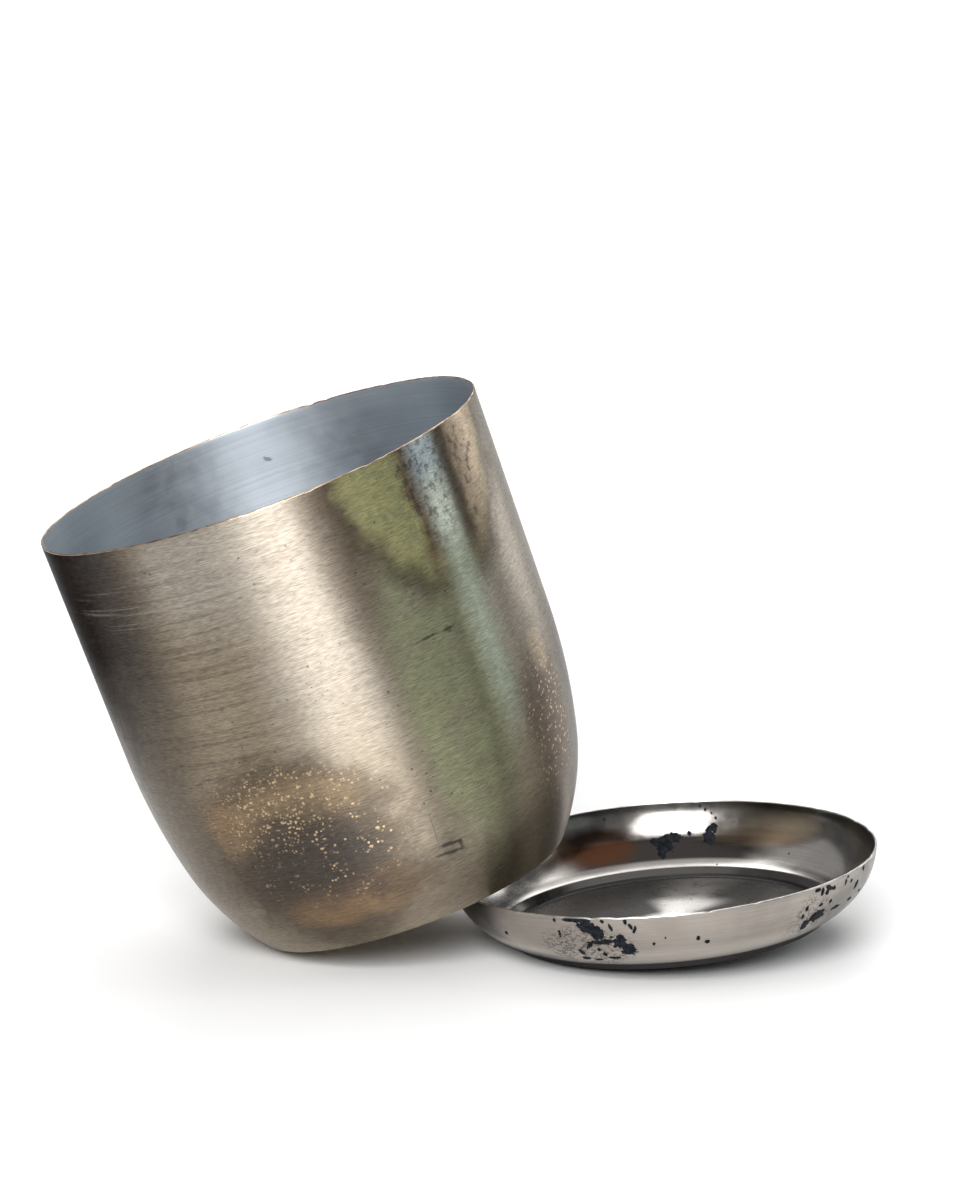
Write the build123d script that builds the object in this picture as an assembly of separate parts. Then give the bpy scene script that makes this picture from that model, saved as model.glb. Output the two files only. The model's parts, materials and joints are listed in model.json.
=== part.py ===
from build123d import *
import os
from math import cos, radians, sin

# A poured-candle mould: a deep drawn cup, leaning with its base on the rim of
# the shallow pressed dish that it otherwise stands in. Millimetres and degrees.
# Wall angles are measured from upright, so 0 is a vertical wall and 90 is flat.

# The cup, one sheet of metal drawn deep
mouth_radius = 38.5        # outside, at the rim
cup_height = 77.5
cup_sheet = 0.4
upper_draft = 1.0          # lets the finished candle slide out
shoulder_bend = 100.0      # the wall starts to turn in
shoulder_angle = 13.3      # wall angle where the shoulder bend ends
lower_bend = 41.0          # the rounded lower wall
lower_angle = 39.3         # wall angle where the lower bend ends
base_corner = 1.2          # outside radius where wall meets base
foot_ring = 3.0            # width of the flat ring that the cup stands on
base_push_up = 0.3         # the base is set in this far at its centre

# The dish, one sheet pressed shallow, with a round seat for the cup's base
dish_rim_radius = 36.2     # outside, at the rim
dish_sheet = 0.4
dish_draft = 5.5
dish_wall_bend = 12.2      # the upright part of its wall
dish_wall_angle = 44.0
dish_floor_bend = 13.8     # the wall turns towards the floor
dish_floor_angle = 65.0
seat_edge = -0.2           # the crisp edge of the seat bends the other way
seat_slope = 50.0
seat_run = 1.85            # length of the seat's sloping side
seat_corner = 1.2

# How the two lie: both lean towards -X, and the cup is held up by the dish
cup_lean = 19.64
dish_lean = 4.82
dish_offset = 43.0         # from the cup's base centre to the dish's, along X


def bends_drop(path, angle):
    """How far a run of bends goes down, starting at a wall angle."""
    total = 0.0
    for radius, end in path:
        total += radius * (sin(radians(end)) - sin(radians(angle)))
        angle = end
    return total


def wall_line(start, angle, path, inset):
    """The wall's edges from the rim down, set in from the outer face.

    A path step is a straight length, or a bend as (radius, end angle) with a
    negative radius where it turns back towards upright.
    """
    a = radians(angle)
    r = start[0] - inset * cos(a)
    z = start[1] + inset * sin(a)
    edges = []
    for step in path:
        if isinstance(step, tuple):
            radius = step[0] - inset
            points = []
            for turn in (0.5, 1.0):
                b = a + turn * (radians(step[1]) - a)
                points.append((r - radius * (cos(a) - cos(b)), z - radius * (sin(b) - sin(a))))
            edges.append(ThreePointArc((r, z), points[0], points[1]))
            r, z = points[1]
            a = radians(step[1])
        else:
            end = (r - step * sin(a), z - step * cos(a))
            edges.append(Line((r, z), end))
            r, z = end
    return edges


def base_line(edge, ring, push_up, lift):
    """The base's edges from the wall to the axis: a flat ring, then a shallow rise."""
    if push_up == 0:
        return [Line(edge, (0, lift))]
    inner = edge.X - ring
    rise = TangentArc((0, push_up + lift), (inner, lift), tangent=(1, 0))
    return [Line(edge, (inner, lift)), rise]


def sheet_shell(rim_radius, height, draft, path, sheet, ring=0.0, push_up=0.0):
    """A round pressing of even thickness, standing on its base with its axis on Z."""
    outer = wall_line((rim_radius, height), draft, path, 0)
    inner = wall_line((rim_radius, height), draft, path, sheet)
    outer_base = base_line(outer[-1] @ 1, ring, push_up, 0)
    inner_base = base_line(inner[-1] @ 1, ring, push_up, sheet)
    axis = Line((0, push_up), (0, push_up + sheet))
    rim = Line(outer[0] @ 0, inner[0] @ 0)
    section = make_face(outer + outer_base + [axis] + inner_base + inner + [rim])
    return revolve(Plane.XZ * section, Axis.Z, 360)


def flat_radius(rim_radius, draft, path):
    """Radius of the flat base that a wall path ends on."""
    return (wall_line((rim_radius, 0), draft, path, 0)[-1] @ 1).X


def resting(shell, lean, base_radius, corner, x):
    """Lean a pressing towards -X and stand it on z = 0 on its base corner."""
    a = radians(lean)
    height = base_radius * sin(a) + corner * (1 - cos(a))
    return Pos(x, 0, height) * Rot(0, -lean, 0) * shell


cup_bends = [
    (shoulder_bend, shoulder_angle),
    (lower_bend, lower_angle),
    (base_corner, 90.0),
]
upper_run = (cup_height - bends_drop(cup_bends, upper_draft)) / cos(radians(upper_draft))
cup_path = [upper_run] + cup_bends

wall_bends = [(dish_wall_bend, dish_wall_angle), (dish_floor_bend, dish_floor_angle)]
seat_bends = [(seat_edge, seat_slope), (seat_corner, 90.0)]
seat_depth = bends_drop(seat_bends, dish_floor_angle) + seat_run * cos(radians(seat_slope))
dish_height = bends_drop(wall_bends, dish_draft) + seat_depth
dish_path = wall_bends + [seat_bends[0], seat_run, seat_bends[1]]

cup_base_radius = flat_radius(mouth_radius, upper_draft, cup_path)
dish_base_radius = flat_radius(dish_rim_radius, dish_draft, dish_path)

cup_shell = sheet_shell(
    mouth_radius, cup_height, upper_draft, cup_path, cup_sheet, foot_ring, base_push_up
)
dish_shell = sheet_shell(dish_rim_radius, dish_height, dish_draft, dish_path, dish_sheet)

mould_cup = resting(cup_shell, cup_lean, cup_base_radius, base_corner, 0)
base_dish = resting(dish_shell, dish_lean, dish_base_radius, seat_corner, dish_offset)

# The origin is the middle of the footprint, on the surface that both stand on
reach = Compound([mould_cup, base_dish]).bounding_box()
to_middle = Pos(-(reach.min.X + reach.max.X) / 2, 0, 0)
parts = {"mould_cup": to_middle * mould_cup, "base_dish": to_middle * base_dish}

os.makedirs("parts", exist_ok=True)
for name, solid in parts.items():
    export_step(solid, f"parts/{name}.step")
    box = solid.bounding_box()
    print(name, round(solid.volume, 1), "mm3", box.min, box.max)

print("cup base radius", round(cup_base_radius, 2), "upper run", round(upper_run, 2))
print("dish base radius", round(dish_base_radius, 2), "dish height", round(dish_height, 2))
print("seat depth", round(seat_depth, 2), "moved by", round(to_middle.position.X, 3))
print("gap between the cup and the dish", round(mould_cup.distance_to(base_dish), 3))
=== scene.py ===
# %% [markdown]
# # A candle mould: a drawn steel cup leaning on its pressed dish
#
# The real thing is two thin pressings. The deep cup takes the melted wax, and
# the shallow dish has a round seat that the cup's base drops into. Here the
# cup has been lifted out: it leans on the corner of its base, with its lower
# wall against the dish's rim.
#
# Both are bodies of revolution, so each could be a spun curve or a screw
# modifier. A mesh built row by row is used, because then the sheet's
# thickness, its dents and its worn rim are all real geometry.

import json
import math
import random

import bmesh
import bpy
import numpy as np
from mathutils import Matrix, Vector, noise


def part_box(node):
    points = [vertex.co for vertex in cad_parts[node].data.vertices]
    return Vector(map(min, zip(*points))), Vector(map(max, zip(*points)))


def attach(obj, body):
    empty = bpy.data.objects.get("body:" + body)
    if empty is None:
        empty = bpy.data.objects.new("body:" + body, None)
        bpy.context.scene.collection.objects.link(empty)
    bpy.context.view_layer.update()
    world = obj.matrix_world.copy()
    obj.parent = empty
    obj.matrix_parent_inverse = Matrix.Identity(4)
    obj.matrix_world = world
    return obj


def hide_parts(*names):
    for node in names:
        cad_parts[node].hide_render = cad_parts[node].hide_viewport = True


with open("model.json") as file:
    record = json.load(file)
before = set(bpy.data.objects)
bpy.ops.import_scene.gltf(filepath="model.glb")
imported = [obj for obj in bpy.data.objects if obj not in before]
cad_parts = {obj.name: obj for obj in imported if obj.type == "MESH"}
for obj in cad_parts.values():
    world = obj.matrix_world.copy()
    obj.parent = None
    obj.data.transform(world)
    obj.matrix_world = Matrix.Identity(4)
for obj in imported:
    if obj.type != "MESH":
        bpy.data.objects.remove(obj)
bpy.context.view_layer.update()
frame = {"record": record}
MM = 0.001

# %% [markdown]
# ## The two sections
#
# A pressing's section is a wall line that runs down from the rim: a straight
# stretch, then bends, each with its own radius. A wall angle of 0 is upright
# and 90 is flat. The line is walked once for the outer face and once, set in
# by the sheet's thickness, for the inner face, so both faces stay parallel.


# %% Walk a wall line from the rim down
def wall_line(rim_radius, height, draft, path, inset, spacing):
    """Points (radius, height) down a wall; path steps are lengths or (radius, end angle) bends."""
    a = math.radians(draft)
    r, z = rim_radius - inset * math.cos(a), height + inset * math.sin(a)
    points = [(r, z)]
    for step in path:
        if isinstance(step, tuple):
            radius, end = step[0] - inset, math.radians(step[1])
            count = max(4, math.ceil(abs(radius * (end - a)) / spacing))
            for k in range(1, count + 1):
                b = a + (end - a) * k / count
                points.append((r - radius * (math.cos(a) - math.cos(b)),
                               z - radius * (math.sin(b) - math.sin(a))))
            a = end
        else:
            count = max(1, math.ceil(step / spacing))
            for k in range(1, count + 1):
                points.append((r - step * k / count * math.sin(a), z - step * k / count * math.cos(a)))
        r, z = points[-1]
    return points


def bends_drop(path, angle):
    """How far a run of bends goes down, starting at a wall angle."""
    total = 0.0
    for radius, end in path:
        total += radius * (math.sin(math.radians(end)) - math.sin(math.radians(angle)))
        angle = end
    return total


print("a 10 mm upright wall ends at", wall_line(5.0, 10.0, 0.0, [10.0], 0.0, 5.0)[-1])


# %% Carry the wall on over the base
def base_line(edge, ring, push_up, lift, spacing):
    """Points over the base to its centre: a flat ring, then a shallow rise."""
    points = []
    reach = max(edge - ring, 0)
    count = max(2, math.ceil(edge / spacing))
    for k in range(1, count + 1):
        r = edge * (1 - k / count)
        rise = push_up * (1 - (r / reach) ** 2) if r < reach else 0
        points.append((r, lift + rise))
    return points


print("a 2 mm base ends at", base_line(2.0, 0.0, 0.0, 0.0, 1.0)[-1])

# %% Close both faces into one section
OUTSIDE, EDGE, INSIDE, PANEL = range(4)
print("a sheet's sides are numbered", OUTSIDE, EDGE, INSIDE, PANEL)


def section(rim_radius, height, draft, path, sheet, ring, push_up, spacing=0.8, lip_rows=6):
    """The closed section as rows (radius, height, side), with the cut edge rounded over."""
    outer = wall_line(rim_radius, height, draft, path, 0, spacing)
    inner = wall_line(rim_radius, height, draft, path, sheet, spacing)
    outer += base_line(outer[-1][0], ring, push_up, 0, spacing)
    inner += base_line(inner[-1][0], ring, push_up, sheet, spacing)
    half = sheet / 2
    centre = (rim_radius - half, height - half)
    lip = []
    for k in range(lip_rows + 1):
        turn = math.pi * k / lip_rows
        lip.append((centre[0] - half * math.cos(turn), centre[1] + half * math.sin(turn), EDGE))
    below = height - half - 1e-6
    rows = [(r, z, INSIDE) for r, z in reversed(inner) if z < below]
    rows += lip
    rows += [(r, z, OUTSIDE) for r, z in outer if z < below]
    return rows


# %% [markdown]
# ## The measures of both pressings
#
# The rims are as wide as the model's boxes say. The other measures, in
# millimetres and degrees, are those the model was drawn with, so the new sheets
# lie on its faces. The dish's flat centre is a side with its own finish.

# %% The cup's own measures
mouth_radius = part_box("mould_cup")[1].y / MM
cup_height = 77.5
cup_draft = 1.0
cup_sheet = 0.4
cup_bends = [(100.0, 13.3), (41.0, 39.3), (1.2, 90.0)]
cup_run = (cup_height - bends_drop(cup_bends, cup_draft)) / math.cos(math.radians(cup_draft))
foot_ring = 3.0
base_push_up = 0.3
cup_path = [cup_run] + cup_bends
cup_rows = section(mouth_radius, cup_height, cup_draft, cup_path, cup_sheet, foot_ring, base_push_up)
print("cup rows", len(cup_rows), "mouth radius", round(mouth_radius, 2))

# %% The dish's own measures
dish_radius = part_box("base_dish")[1].y / MM
dish_draft = 5.5
floor_angle = 65.0
seat_slope = 50.0
dish_wall = [(12.2, 44.0), (13.8, floor_angle)]
seat_edge = (-0.2, seat_slope)
seat_run = 1.85
seat_corner = (1.2, 90.0)
seat_depth = bends_drop([seat_edge, seat_corner], floor_angle)
seat_depth += seat_run * math.cos(math.radians(seat_slope))
dish_sheet = 0.4
dish_height = bends_drop(dish_wall, dish_draft) + seat_depth
dish_path = dish_wall + [seat_edge, seat_run, seat_corner]
dish_rows = section(dish_radius, dish_height, dish_draft, dish_path, dish_sheet, 0.0, 0.0, spacing=0.5)
panel_radius = 27.1
for i, (r, z, side) in enumerate(dish_rows):
    if side == INSIDE and r < panel_radius:
        dish_rows[i] = (r, z, PANEL)
print("dish rows", len(dish_rows), "dish height", round(dish_height, 2))

# %% [markdown]
# ## Handling marks as geometry
#
# A used pressing is never quite round: its wall is a little oval, its rim has
# small nicks, and knocks have left shallow dents. Each dent is a smooth hollow
# that moves both faces of the sheet. A bump map could fake this, but not at
# the silhouette.


# %% Where a worn point of a sheet lies
stiff_part = 0.15
three_sided = 0.4
rim_zone = 1.2
slow_wave, quick_wave = 0.03, 0.02


def fade(x, low, high):
    """A smooth step from 0 below low to 1 above high."""
    t = min(max((x - low) / (high - low), 0.0), 1.0)
    return t * t * (3 - 2 * t)


def turn_between(a, b):
    """The smaller turn from b to a, in radians."""
    return (a - b + math.pi) % (2 * math.pi) - math.pi


def worn(radius, height, angle, wear):
    """Where a point of a sheet ends up after years of handling."""
    size, tall = wear["radius"], wear["height"]
    hold = fade(height, 0.0, stiff_part * tall)
    push = wear["oval"] * math.cos(2 * (angle - wear["oval_at"])) * hold * height / tall
    push += three_sided * wear["oval"] * math.cos(3 * angle + 1.0) * hold * height / tall
    for at, up, across, depth in wear["dents"]:
        d = math.hypot(turn_between(angle, at) * size, height - up) / across
        push -= depth * math.exp(-d * d) * hold
    drop = 0.0
    near_rim = fade(height, tall - rim_zone, tall)
    if near_rim > 0:
        drop += slow_wave * math.sin(5 * angle + 0.7) + quick_wave * math.sin(11 * angle)
        for at, width, depth in wear["nicks"]:
            d = turn_between(angle, at) * size / width
            drop += depth * math.exp(-d * d)
    return radius + push * min(1.0, radius / (0.5 * size)), height - drop * near_rim


print("halfway up a slope the fade is", fade(0.5, 0.0, 1.0))


# %% The wear on each piece
def nicks(count, seed):
    """Small chips along a rim: where, how wide and how deep."""
    dice = random.Random(seed)
    return [(dice.uniform(0, 2 * math.pi), dice.uniform(0.35, 0.9), dice.uniform(0.04, 0.16))
            for _ in range(count)]


def dents(*places):
    """Dents as (angle in degrees, height, half width, depth), with the angle turned to radians."""
    return [(math.radians(angle), up, across, depth) for angle, up, across, depth in places]


cup_wear = {
    "radius": mouth_radius, "height": cup_height, "oval": 0.10, "oval_at": 0.6,
    "dents": dents((-12, 44, 5.0, 0.07), (64, 40, 4.0, 0.10), (-55, 52, 7.0, 0.08),
                   (150, 30, 6.0, 0.25), (205, 55, 9.0, 0.20), (118, 60, 5.0, 0.15),
                   (30, 46, 3.5, 0.06), (-140, 22, 6.0, 0.15)),
    "nicks": nicks(26, 11),
}
dish_wear = {
    "radius": dish_radius, "height": dish_height, "oval": 0.06, "oval_at": 1.9,
    "dents": dents((-22, 6.0, 3.0, 0.06), (48, 7.0, 2.5, 0.07), (160, 6.0, 3.5, 0.08)),
    "nicks": nicks(18, 5),
}
for name, wear in (("cup", cup_wear), ("dish", dish_wear)):
    print(name, len(wear["dents"]), "dents and", len(wear["nicks"]), "rim nicks")

# %% [markdown]
# ## From a section to a sheet
#
# Every row of the section becomes a ring of points, each moved to where wear
# has left it. A screw modifier would make the same rings, but the dents would
# have to be pressed in afterwards. Each face knows which side of the sheet it
# is on, so one mesh can carry several finishes.


# %% Turn a section into a sheet of metal
def add_object(name, data):
    """Put a mesh, a light or a camera into the scene."""
    new = bpy.data.objects.new(name, data)
    bpy.context.scene.collection.objects.link(new)
    return new


def sheet_mesh(name, rows, around, wear):
    """A body of revolution about its own Z, in metres, with one material index per side."""
    verts, faces, sides, rings = [], [], [], []
    for r, z, _ in rows:
        if r < 1e-6:
            rings.append([len(verts)])
            verts.append((0.0, 0.0, z * MM))
            continue
        ring = []
        for k in range(around):
            angle = 2 * math.pi * k / around
            wr, wz = worn(r, z, angle, wear)
            ring.append(len(verts))
            verts.append((wr * math.sin(angle) * MM, -wr * math.cos(angle) * MM, wz * MM))
        rings.append(ring)
    for i in range(len(rows) - 1):
        a, b = rings[i], rings[i + 1]
        side = max(rows[i][2], rows[i + 1][2])
        if rows[i + 1][2] == OUTSIDE:
            side = OUTSIDE
        for k in range(around):
            n = (k + 1) % around
            if len(a) == 1:
                faces.append((a[0], b[n], b[k]))
            elif len(b) == 1:
                faces.append((a[k], a[n], b[0]))
            else:
                faces.append((a[k], a[n], b[n], b[k]))
            sides.append(side)
    mesh = bpy.data.meshes.new(name)
    mesh.from_pydata(verts, [], faces)
    mesh.polygons.foreach_set("material_index", sides)
    mesh.polygons.foreach_set("use_smooth", [True] * len(faces))
    mesh.update()
    return add_object(name, mesh)


# %% Make both sheets
segments = 440
cup = sheet_mesh("mould_cup_shell", cup_rows, segments, cup_wear)
dish = sheet_mesh("base_dish_shell", dish_rows, segments, dish_wear)
print("cup faces", len(cup.data.polygons), "dish faces", len(dish.data.polygons))

# %% [markdown]
# ## Standing them where the model has them
#
# The cup leans with its base corner on the table and its wall by the dish's
# rim. Its place is worked out from its model's box, and the dish's from the
# model's own foot. The last lines measure how far each sheet leaves its box.


# %% Stand both pieces where the model has them
def lean_and_place(piece, lean, base):
    """Lean a piece towards -X about its base centre."""
    piece.matrix_world = Matrix.Translation(base) @ Matrix.Rotation(-lean, 4, "Y")


cup_lean = math.radians(19.64)
cup_low, cup_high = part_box("mould_cup")
cup_x = cup_low.x + (cup_height * math.sin(cup_lean) + mouth_radius * math.cos(cup_lean)) * MM
cup_z = cup_high.z - (cup_height * math.cos(cup_lean) + mouth_radius * math.sin(cup_lean)) * MM
lean_and_place(cup, cup_lean, Vector((cup_x, 0, cup_z)))

foot = frame["record"]["mounts"][0]
dish_lean = math.atan2(foot["axis"][0], -foot["axis"][2])
lean_and_place(dish, dish_lean, Vector(foot["pos_m"]))
bpy.context.view_layer.update()
for piece, node in ((cup, "mould_cup"), (dish, "base_dish")):
    corners = [piece.matrix_world @ v.co for v in piece.data.vertices]
    low = [min(c[i] for c in corners) for i in range(3)]
    high = [max(c[i] for c in corners) for i in range(3)]
    model = list(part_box(node)[0]) + list(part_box(node)[1])
    off = [abs(a - b) for a, b in zip(low + high, model)]
    print(piece.name, "leaves its CAD box by at most", round(max(off) / MM, 2), "mm")

# %% [markdown]
# ## A small kit for node materials
#
# Painted images would need unwrapping and would blur close up, so every finish
# is made of nodes. The useful coordinates on a round piece are the angle around
# its axis and the depth below its rim: stains get a place on the wall, and brush
# lines run around it. Local Z is the axis, which makes both easy to work out.


# %% The coordinates of a round piece, and sums with them
class RoundMaterial:
    """A node material that knows angle (radians), down from the rim (mm) and radius (mm)."""

    def __init__(self, name, rim_height, size, inside=False):
        self.material = bpy.data.materials.new(name)
        self.material.use_nodes = True
        self.tree = self.material.node_tree
        self.tree.nodes.clear()
        output = self.tree.nodes.new("ShaderNodeOutputMaterial")
        self.shader = self.tree.nodes.new("ShaderNodeBsdfPrincipled")
        self.tree.links.new(self.shader.outputs[0], output.inputs[0])
        self.place = self.tree.nodes.new("ShaderNodeTexCoord").outputs["Object"]
        split = self.node("ShaderNodeSeparateXYZ", {0: self.place})
        self.x, self.y = split.outputs[0], split.outputs[1]
        self.up = self.times(split.outputs[2], 1 / MM)
        self.down = self.math("SUBTRACT", rim_height, self.up)
        if inside:
            turned = self.math("ARCTAN2", self.times(self.x, -1.0), self.y)
            self.angle = self.math("ADD", turned, math.pi)
        else:
            self.angle = self.math("ARCTAN2", self.x, self.times(self.y, -1.0))
        squares = self.math("MULTIPLY_ADD", self.x, self.x, self.times(self.y, self.y))
        self.radius = self.times(self.math("SQRT", squares), 1 / MM)
        self.size = size
        self.colour = None

    def node(self, kind, inputs=None, **settings):
        """A new node with its settings and inputs."""
        new = self.tree.nodes.new(kind)
        for key, value in settings.items():
            setattr(new, key, value)
        for key, value in (inputs or {}).items():
            self.give(new.inputs[key], value)
        return new

    def give(self, socket, value):
        """Link a socket, or set its own value."""
        if isinstance(value, bpy.types.NodeSocket):
            self.tree.links.new(value, socket)
        else:
            socket.default_value = value

    def math(self, operation, a, b=0.0, c=0.0):
        """A sum with numbers or sockets."""
        return self.node("ShaderNodeMath", {0: a, 1: b, 2: c}, operation=operation).outputs[0]

    def times(self, *factors):
        """All the factors multiplied together."""
        result = factors[0]
        for factor in factors[1:]:
            result = self.math("MULTIPLY", result, factor)
        return result

    def ramp(self, value, low, high, to_low=0.0, to_high=1.0, smooth=True):
        """Carry a value from one range to another, stopping at its ends."""
        kind = "SMOOTHSTEP" if smooth else "LINEAR"
        return self.node("ShaderNodeMapRange",
                         {0: value, 1: low, 2: high, 3: to_low, 4: to_high},
                         interpolation_type=kind).outputs[0]


def helpers(kind):
    """The names of the helpers that a class adds."""
    return ", ".join(name for name in vars(kind) if not name.startswith("_"))


print("sums:", helpers(RoundMaterial))

# %% [markdown]
# ### Patterns
#
# Three patterns are enough for used metal, all sized in millimetres. Clouds
# make tints uneven, streaks around the axis are brush lines, and scattered dots
# are specks.


# %% Clouds, brush lines and specks
class Patterns(RoundMaterial):
    """Grey patterns, from 0 to 1, in millimetres."""

    def moved(self, size, stretch, move):
        """The place in steps of size millimetres, stretched and moved."""
        steps = tuple(s / (size * MM) for s in stretch)
        vector = self.node("ShaderNodeVectorMath", {0: self.place, 1: steps}, operation="MULTIPLY")
        return self.node("ShaderNodeVectorMath", {0: vector.outputs[0], 1: move}, operation="ADD").outputs[0]

    def noise(self, size, detail=3.0, roughness=0.55, stretch=(1, 1, 1), seed=0.0):
        """Cloudy noise with blobs of about size millimetres, stretched along the local axes."""
        moved = self.moved(size, stretch, (seed, seed * 0.7, seed * 1.3))
        return self.node("ShaderNodeTexNoise",
                         {"Vector": moved, "Scale": 1.0, "Detail": detail, "Roughness": roughness}
                         ).outputs["Fac"]

    def brushing(self, width, length, seed=0.0, detail=1.0):
        """Streaks that run around the axis: width along the wall, length around it, in mm."""
        along = self.times(self.math("ADD", self.up, self.radius), 1 / width)
        vector = self.node("ShaderNodeCombineXYZ", {
            0: self.math("MULTIPLY_ADD", self.x, 1 / (length * MM), seed),
            1: self.math("MULTIPLY_ADD", self.y, 1 / (length * MM), seed),
            2: self.math("ADD", along, seed * 9.0)}).outputs[0]
        return self.node("ShaderNodeTexNoise",
                         {"Vector": vector, "Scale": 1.0, "Detail": detail, "Roughness": 0.6}
                         ).outputs["Fac"]

    def dots(self, spacing, largest, seed=0.0, flat=1.0):
        """Scattered round specks: 1 inside a speck; their sizes differ, up to largest mm across."""
        moved = self.moved(spacing, (1, 1, flat), (seed, seed * 1.7, seed * 0.6))
        reach = self.node("ShaderNodeTexVoronoi", {"Vector": moved, "Scale": 1.0}).outputs["Distance"]
        edge = 0.5 * largest / spacing
        return self.ramp(reach, edge, edge * 0.6)


print("patterns:", helpers(Patterns))

# %% [markdown]
# ### Places
#
# A mask says where a stain is: an oval around a point, a band between two
# angles, or a level between two depths. Masks multiply, so a band times a level
# is a soft-edged patch, and noise can make an oval's edge ragged.


# %% Masks for places on the wall
class Places(Patterns):
    """Masks, from 0 to 1, for places on a round wall."""

    def oval(self, at, down, wide, tall, tilt=0.0):
        """Distance from a place on the wall, 1 on an oval's edge: angle (deg), depth, half sizes (mm)."""
        u = self.times(self.math("SUBTRACT", self.angle, math.radians(at)), self.size)
        v = self.math("SUBTRACT", self.down, down)
        if tilt:
            c, s = math.cos(math.radians(tilt)), math.sin(math.radians(tilt))
            turned = self.math("MULTIPLY_ADD", u, c, self.times(v, s))
            v = self.math("MULTIPLY_ADD", v, c, self.times(u, -s))
            u = turned
        u = self.times(u, 1 / wide)
        v = self.times(v, 1 / tall)
        return self.math("SQRT", self.math("MULTIPLY_ADD", u, u, self.times(v, v)))

    def spot(self, at, down, wide, tall, soft=0.3, ragged=None, ragged_by=0.0, tilt=0.0):
        """A mask that is 1 inside an oval on the wall and 0 outside it."""
        reach = self.oval(at, down, wide, tall, tilt)
        if ragged is not None:
            reach = self.math("MULTIPLY_ADD", self.math("SUBTRACT", ragged, 0.5), ragged_by, reach)
        return self.ramp(reach, 1 + soft, 1 - soft)

    def band(self, left, right, soft):
        """A mask that is 1 between two angles, in degrees, with soft sides."""
        rising = self.ramp(self.angle, math.radians(left - soft), math.radians(left + soft))
        falling = self.ramp(self.angle, math.radians(right + soft), math.radians(right - soft))
        return self.times(rising, falling)

    def level(self, top, bottom, soft):
        """A mask that is 1 between two depths below the rim, with soft ends."""
        rising = self.ramp(self.down, top - soft, top + soft)
        falling = self.ramp(self.down, bottom + soft, bottom - soft)
        return self.times(rising, falling)


print("places:", helpers(Places))

# %% [markdown]
# ### Layers
#
# Each call to paint lays one colour over what is there, where a mask lets it.


# %% Layers of colour and the shader's own values
class Finish(Places):
    """A finish: layers of colour, then the values of the shader."""

    def mix(self, mask, a, b):
        """Colour a where the mask is 0 and b where it is 1."""
        a, b = (c if isinstance(c, bpy.types.NodeSocket) else (*c, 1.0) for c in (a, b))
        return self.node("ShaderNodeMix", {0: mask, 6: a, 7: b}, data_type="RGBA").outputs[2]

    def paint(self, mask, colour, strength=1.0):
        """Lay a colour over what is there, where the mask says."""
        if strength != 1.0:
            mask = self.times(mask, strength)
        self.colour = self.mix(mask, self.colour, colour)

    def brighten(self, factor):
        """Multiply the colour by a number."""
        grey = self.node("ShaderNodeCombineColor", {0: factor, 1: factor, 2: factor}).outputs[0]
        self.colour = self.node("ShaderNodeMix", {0: 1.0, 6: self.colour, 7: grey},
                                data_type="RGBA", blend_type="MULTIPLY").outputs[2]

    def set(self, **sockets):
        """Give the shader's own sockets values or links, by name."""
        for name, value in sockets.items():
            self.give(self.shader.inputs[name.replace("_", " ")], value)

    def bump(self, height, distance, strength):
        """Fine relief, distance in mm between the lowest and highest grey."""
        inputs = {"Height": height, "Distance": distance * MM, "Strength": strength}
        return self.node("ShaderNodeBump", inputs).outputs[0]

    def brushed(self, amount):
        """Stretch highlights across brush lines that run around the local Z axis."""
        tangent = self.node("ShaderNodeTangent", direction_type="RADIAL", axis="Z").outputs[0]
        self.set(Anisotropic=amount, Anisotropic_Rotation=0.25, Tangent=tangent)

    def made(self, what):
        """Say which layer is on, and how many nodes the material has by now."""
        print(self.material.name, "with", what, "has", len(self.tree.nodes), "nodes")

    def metal(self, grain, light, wear, roughness, relief, stretch):
        """Turn the colour into metal: grain dims or lights it, wear roughens it, relief is in mm."""
        self.brighten(self.ramp(grain, 0.3, 0.7, *light, smooth=False))
        self.set(Base_Color=self.colour, Metallic=1.0)
        self.set(Roughness=self.ramp(wear, 0.3, 0.7, *roughness))
        self.set(Normal=self.bump(grain, relief, 0.5))
        self.brushed(stretch)
        self.made("its metal")
        return self.material


print("layers:", helpers(Finish))

# %% [markdown]
# ## The cup's outside: brushed steel with heat tints
#
# The wall was brushed around, so a light makes a long bright band along the
# axis. The plain steel comes first, then each tint, then specks, scratches and
# the brush lines. Places are an angle (0 is the front, positive to the right)
# and a depth below the rim.
#
# Some of the darkest zones stand in for dark surroundings that the real metal
# mirrors, the foot of the wall carries painted shade, and a stripe and a spot by
# the glare are painted reflections and highlights. This studio is plain and
# pale, so they are painted, and they stay with the metal when it moves.

# %% Colours of the heated steel, and of its painted reflections and shade
STEEL = (0.40, 0.355, 0.295)
STEEL_DEEP = (0.34, 0.295, 0.24)
LEFT_REFLECTION_DIM = (0.30, 0.243, 0.170)
LEFT_REFLECTION_DARK = (0.075, 0.06, 0.048)
OLIVE = (0.50, 0.48, 0.24)
MOSS = (0.36, 0.375, 0.225)
BROWN = (0.17, 0.115, 0.075)
DEEP_BROWN = (0.115, 0.088, 0.062)
TAN = (0.50, 0.40, 0.29)
BURNT_TAN = (0.30, 0.20, 0.12)
GOLD = (0.72, 0.52, 0.31)
SOOT_AND_DARK_REFLECTION = (0.055, 0.050, 0.050)
STRIPE_BLUE_REFLECTION = (0.32, 0.37, 0.42)
STRIPE_GREEN_REFLECTION = (0.25, 0.275, 0.22)
WHITE = (1.0, 1.0, 1.0)
print("heated steel runs from", SOOT_AND_DARK_REFLECTION, "to", GOLD)
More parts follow.
